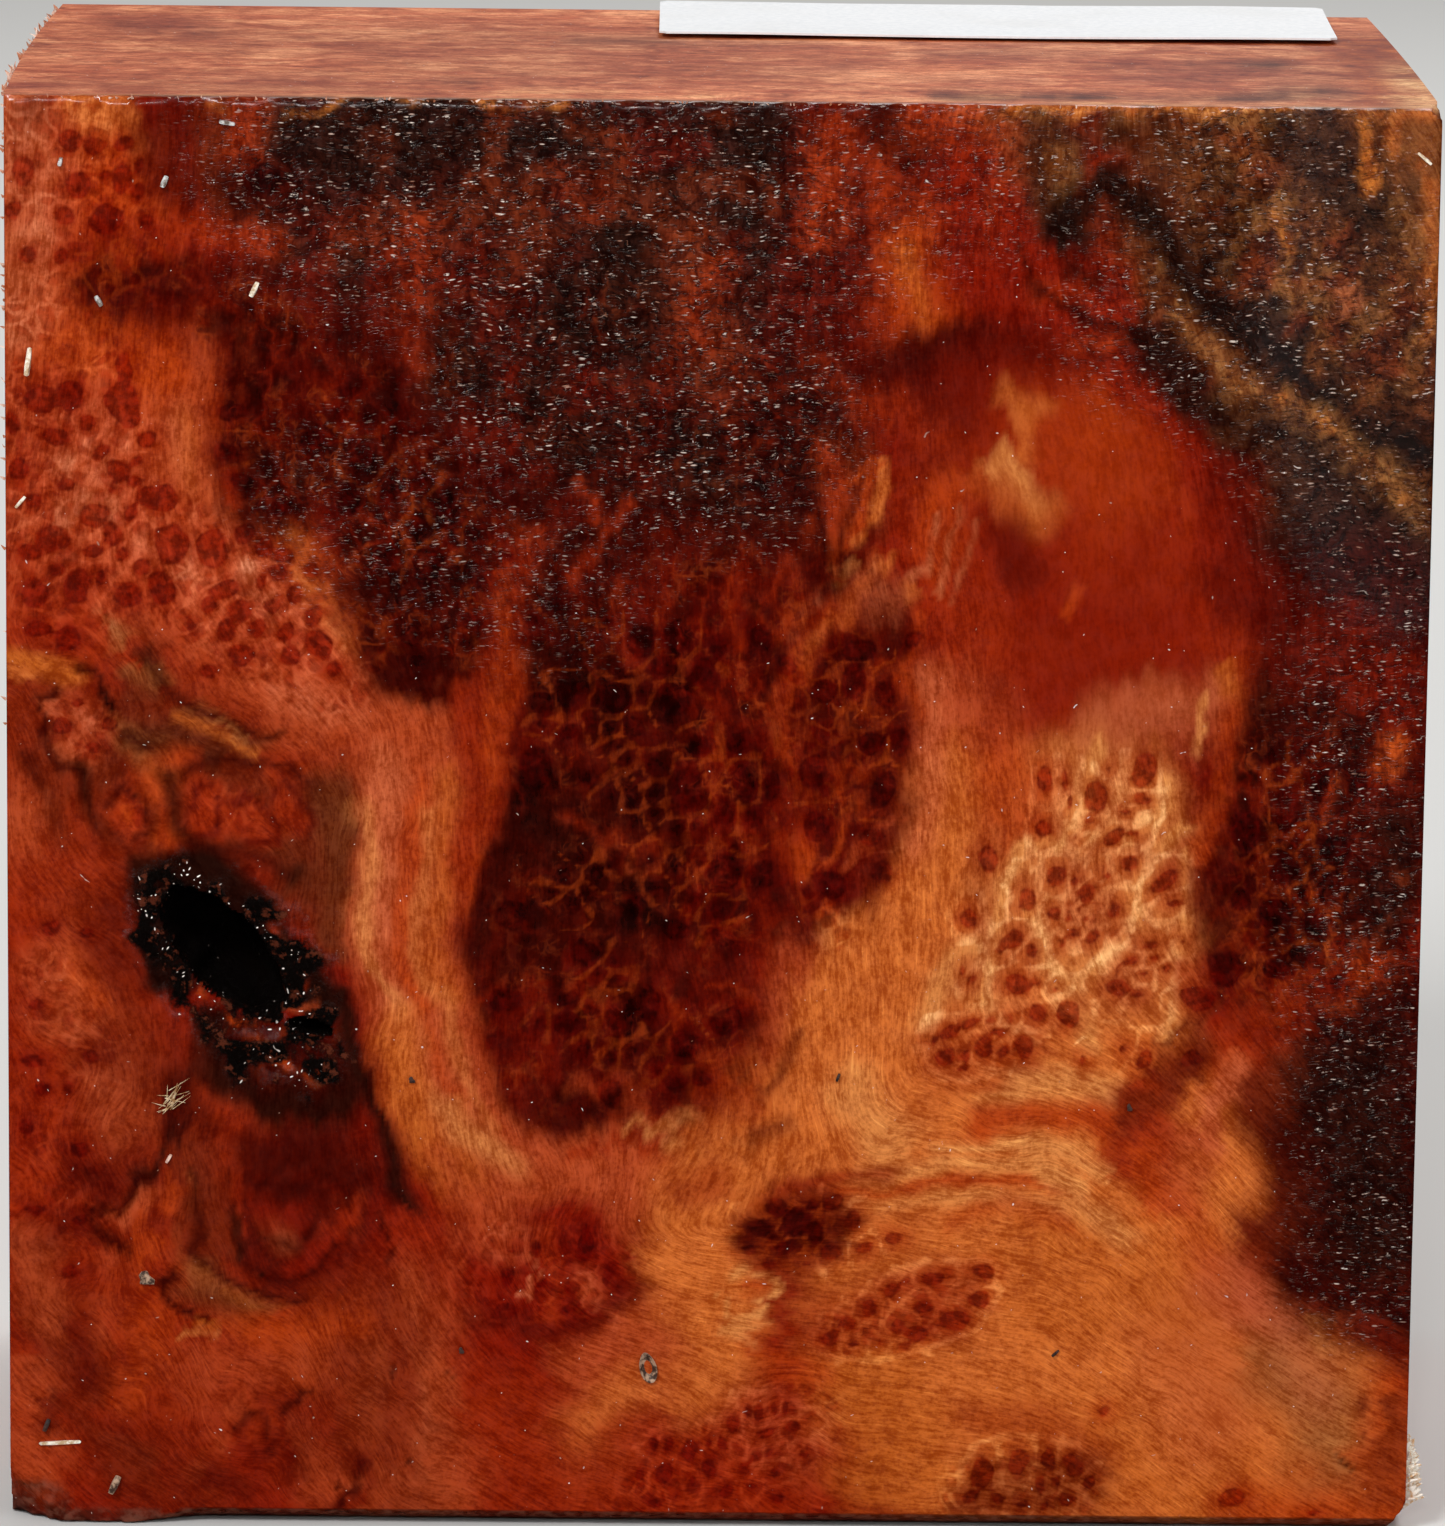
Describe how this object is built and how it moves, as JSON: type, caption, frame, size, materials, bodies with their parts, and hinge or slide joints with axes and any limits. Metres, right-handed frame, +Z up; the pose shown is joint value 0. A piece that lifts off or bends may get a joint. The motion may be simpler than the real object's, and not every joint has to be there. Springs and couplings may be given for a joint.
{
  "type": "burl bowl blank",
  "caption": "Square sawn block of red lace burl standing on a narrow side, with a bark pit in its figured face and a blank paper label on top.",
  "frame": {"origin": "under the middle of the block, on the surface that it stands on", "axes": "+Z up, +Y through the thickness from the figured front face to the back face, +X along the width to the right of the front face"},
  "size_m": [0.1549, 0.089, 0.1576],
  "materials": {
    "burl_wood": "wet sawn wood, glossy on the front, drier on the other sides",
    "label_paper": "matte white label stock, blank"
  },
  "bodies": {
    "root": {"burl_block": "burl_wood", "paper_label": "label_paper"}
  },
  "joints": []
}
